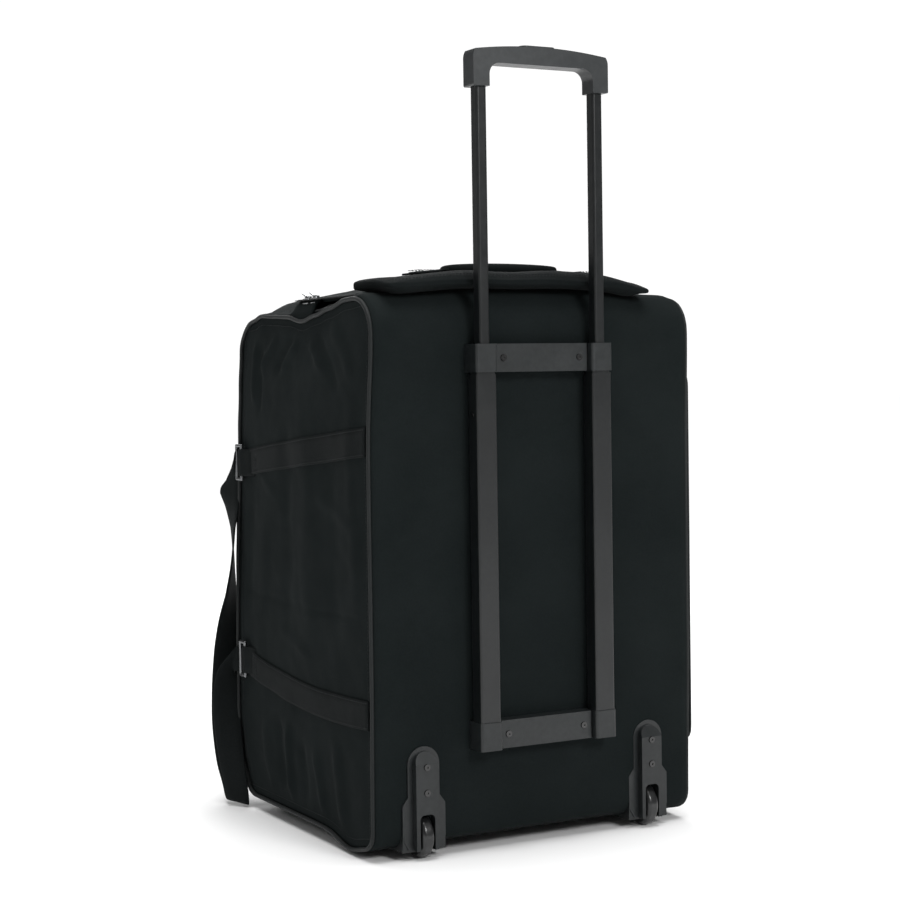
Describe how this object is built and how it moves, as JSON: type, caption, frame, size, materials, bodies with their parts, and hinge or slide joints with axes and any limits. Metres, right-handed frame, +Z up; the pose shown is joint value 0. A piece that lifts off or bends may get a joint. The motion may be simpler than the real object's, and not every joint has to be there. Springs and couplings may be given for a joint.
{
  "type": "wheeled skate bag",
  "caption": "Soft wheeled bag with a telescopic tow handle, folding zipped lid, padded flap, end pocket, webbing carry straps and recessed wheels.",
  "frame": {"origin": "on the floor, under the middle of the whole object's bounding box", "axes": "+Z up; -Y towards the front with the long zip; +Y towards the back with the tow handle; +X towards the plain end panel, -X towards the end pocket"},
  "size_m": [0.4874, 0.4794, 0.974],
  "materials": {
    "bag_fabric": "coated woven polyester, matt",
    "piping": "smooth bias tape over a cord",
    "webbing": "ribbed polyester webbing",
    "zip_tape": "woven tape with nylon coil",
    "stiffener": "rough extruded sheet",
    "moulded_plastic": "fine satin texture",
    "grip_plastic": "satin",
    "tube_black": "satin black anodised",
    "chrome": "bright plated",
    "steel": "zinc plated",
    "tyre": "smooth moulded tread"
  },
  "bodies": {
    "bag": {"back_panel": "bag_fabric", "front_panel_left": "bag_fabric", "front_panel_right": "bag_fabric", "top_panel": "bag_fabric", "bottom_panel": "bag_fabric", "end_panel_left": "bag_fabric", "end_panel_right": "bag_fabric", "end_piping": "piping", "back_board": "stiffener", "base_board": "stiffener", "front_feet": "moulded_plastic", "lid_zip_fixed_half": "zip_tape", "side_bands_left": "webbing", "side_bands_right": "webbing", "end_pocket": "bag_fabric", "pocket_zip": "zip_tape", "front_zip": "zip_tape", "outer_tube_left": "tube_black", "outer_tube_right": "tube_black", "guide_bushings": "moulded_plastic", "upper_bracket": "moulded_plastic", "lower_bracket": "moulded_plastic", "bracket_screws": "steel", "backing_nuts": "steel", "wheel_housing_left": "moulded_plastic", "wheel_housing_right": "moulded_plastic", "housing_screws": "steel", "wheel_axles": "steel"},
    "lid": {"lid_panel": "bag_fabric", "lid_flap": "bag_fabric", "lid_zip_moving_half": "zip_tape", "grab_handle_anchors": "webbing"},
    "grab_handle": {"grab_handle_webbing": "webbing", "grab_handle_sleeve": "bag_fabric"},
    "rear_slider": {"zip_slider_rear": "chrome"},
    "rear_pull": {"zip_pull_rear": "chrome"},
    "fore_slider": {"zip_slider_front": "chrome"},
    "fore_pull": {"zip_pull_front": "chrome"},
    "pocket_slider": {"pocket_slider": "chrome"},
    "pocket_pull": {"pocket_pull": "chrome"},
    "front_slider": {"front_slider": "chrome"},
    "front_pull": {"front_pull": "chrome"},
    "carry_left": {"rings_left": "chrome", "carry_strap_left": "webbing"},
    "carry_right": {"rings_right": "chrome", "carry_strap_right": "webbing"},
    "tow_handle": {"inner_tube_left": "tube_black", "inner_tube_right": "tube_black", "tube_glides": "moulded_plastic", "grip_rear_shell": "grip_plastic", "grip_front_shell": "grip_plastic", "button_spring": "steel"},
    "release_button": {"release_button": "grip_plastic", "push_rods": "steel"},
    "lock_pin_left": {"lock_pin_left": "steel"},
    "lock_pin_right": {"lock_pin_right": "steel"},
    "wheel_left": {"wheel_tyre_left": "tyre", "wheel_hub_left": "moulded_plastic"},
    "wheel_right": {"wheel_tyre_right": "tyre", "wheel_hub_right": "moulded_plastic"}
  },
  "joints": [
    {"name": "lid_fold", "type": "hinge", "parent": "bag", "child": "lid", "pos_m": [0.00732, 0.0564, 0.676], "axis": [1, 0, 0], "range_deg": [0, 110]},
    {"name": "grab_handle_lift", "type": "hinge", "parent": "lid", "child": "grab_handle", "pos_m": [0.00732, 0.14125, 0.70255], "axis": [-1, 0, 0], "range_deg": [0, 80]},
    {"name": "rear_slider_run", "type": "slide", "parent": "bag", "child": "rear_slider", "axis": [0, 1, 0], "range_m": [0, 0.08]},
    {"name": "rear_pull_hinge", "type": "hinge", "parent": "rear_slider", "child": "rear_pull", "pos_m": [0.22231, 0.04525, 0.68], "axis": [-1, 0, 0], "range_deg": [-20, 140]},
    {"name": "fore_slider_run", "type": "slide", "parent": "bag", "child": "fore_slider", "axis": [0, 1, 0], "range_m": [-0.015, 0]},
    {"name": "fore_pull_hinge", "type": "hinge", "parent": "fore_slider", "child": "fore_pull", "pos_m": [0.22231, 0.02225, 0.68], "axis": [-1, 0, 0], "range_deg": [-20, 90]},
    {"name": "pocket_slider_run", "type": "slide", "parent": "bag", "child": "pocket_slider", "axis": [0, 1, 0], "range_m": [-0.24, 0]},
    {"name": "pocket_pull_hinge", "type": "hinge", "parent": "pocket_slider", "child": "pocket_pull", "pos_m": [-0.24169, 0.14425, 0.554], "axis": [0, 0, 1], "range_deg": [0, 160]},
    {"name": "front_slider_run", "type": "slide", "parent": "bag", "child": "front_slider", "axis": [0, 0, 1], "range_m": [-0.48, 0]},
    {"name": "front_pull_hinge", "type": "hinge", "parent": "front_slider", "child": "front_pull", "pos_m": [0.00732, -0.19575, 0.595], "axis": [-1, 0, 0], "range_deg": [0, 160]},
    {"name": "carry_left_swing", "type": "hinge", "parent": "bag", "child": "carry_left", "pos_m": [0.23881, -0.16575, 0.333], "axis": [0, 0, 1], "range_deg": [0, 100]},
    {"name": "carry_right_swing", "type": "hinge", "parent": "bag", "child": "carry_right", "pos_m": [-0.22418, -0.16575, 0.333], "axis": [0, 0, 1], "range_deg": [-100, 0]},
    {"name": "tow_handle_slide", "type": "slide", "parent": "bag", "child": "tow_handle", "axis": [0, 0, 1], "range_m": [-0.3, 0]},
    {"name": "release_button_press", "type": "slide", "parent": "tow_handle", "child": "release_button", "axis": [0, 0, 1], "range_m": [-0.004, 0], "stiffness_N_per_m": 800, "springref_m": 0.004, "deforming": ["button_spring"]},
    {"name": "lock_pin_left_slide", "type": "slide", "parent": "tow_handle", "child": "lock_pin_left", "axis": [1, 0, 0], "range_m": [0, 0.002]},
    {"name": "lock_pin_right_slide", "type": "slide", "parent": "tow_handle", "child": "lock_pin_right", "axis": [-1, 0, 0], "range_m": [0, 0.002]},
    {"name": "wheel_left_spin", "type": "hinge", "parent": "bag", "child": "wheel_left", "pos_m": [0.16931, 0.19825, 0.027], "axis": [1, 0, 0], "continuous": true},
    {"name": "wheel_right_spin", "type": "hinge", "parent": "bag", "child": "wheel_right", "pos_m": [-0.15468, 0.19825, 0.027], "axis": [1, 0, 0], "continuous": true}
  ]
}
